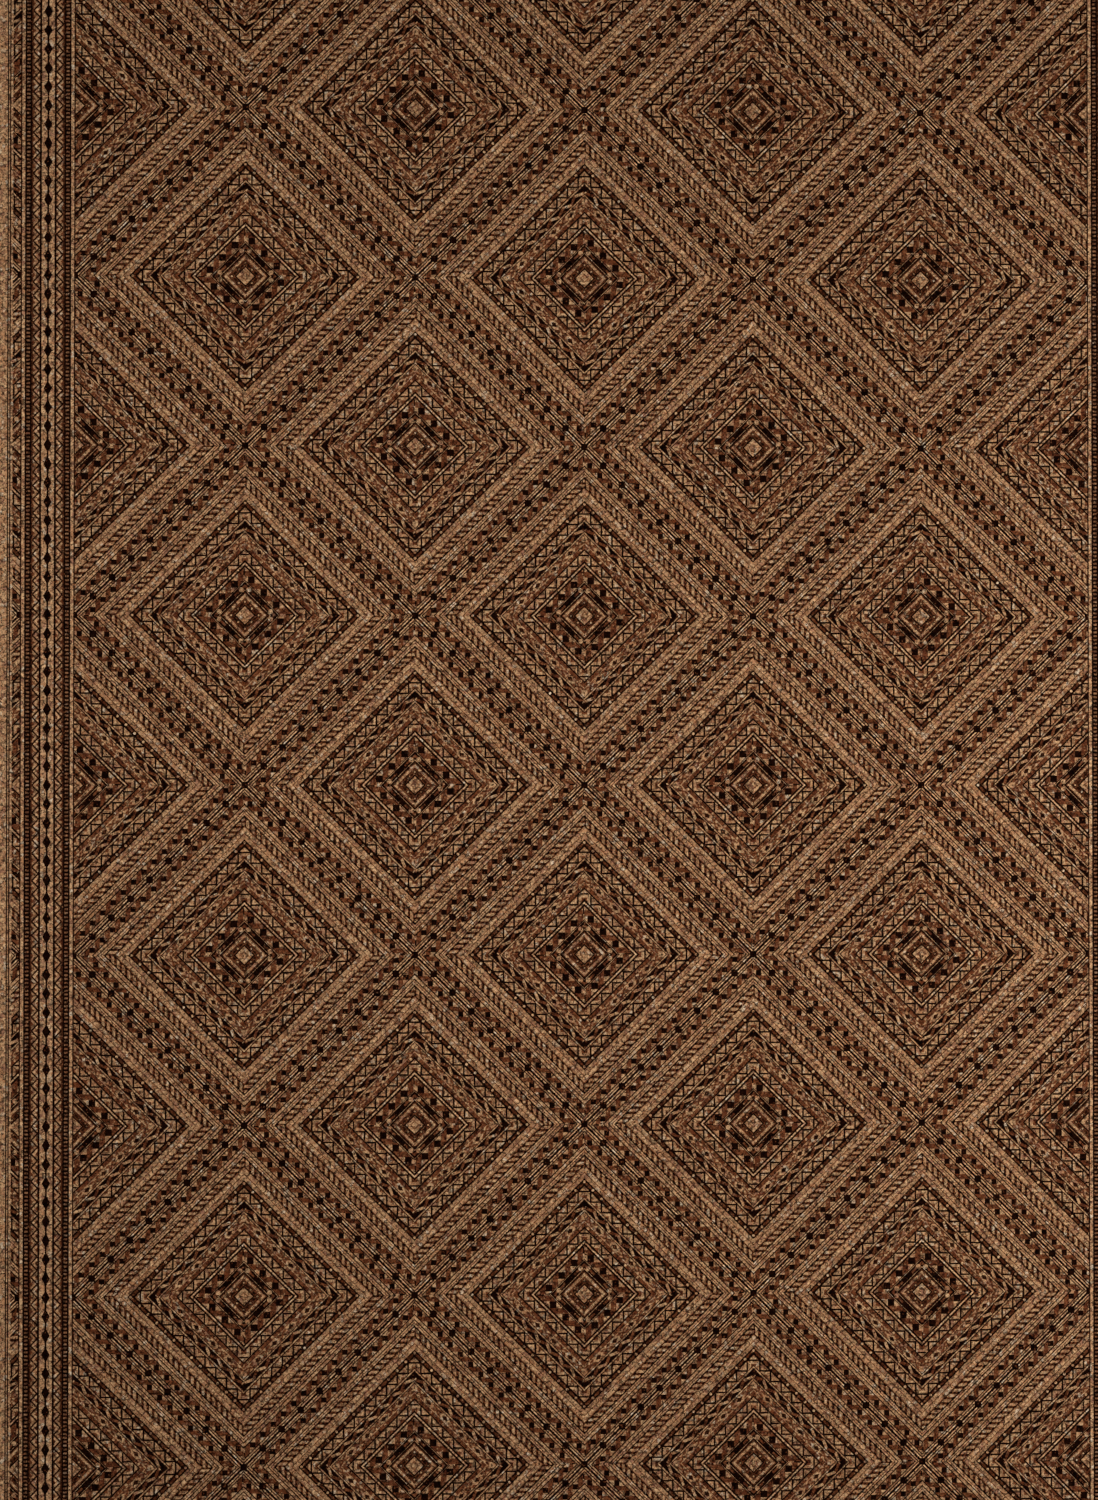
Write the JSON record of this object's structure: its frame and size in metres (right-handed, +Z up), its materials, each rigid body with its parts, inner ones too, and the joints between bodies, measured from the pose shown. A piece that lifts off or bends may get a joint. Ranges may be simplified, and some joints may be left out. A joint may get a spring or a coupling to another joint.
{
  "type": "cork rug",
  "caption": "Flat rectangular rug of printed cork sheet, a lattice of nested lozenges inside a banded border, that lies loose on a floor.",
  "frame": {"origin": "middle of the rug's underside, on the floor", "axes": "+X across the rug, +Y along its length, +Z up out of the printed face"},
  "size_m": [1.4, 2.2, 0.003],
  "materials": {
    "printed_cork": "matt natural cork, printed in dark brown and mid brown over bare tan cork"
  },
  "bodies": {
    "root": {"cork_sheet": "printed_cork"}
  },
  "joints": []
}
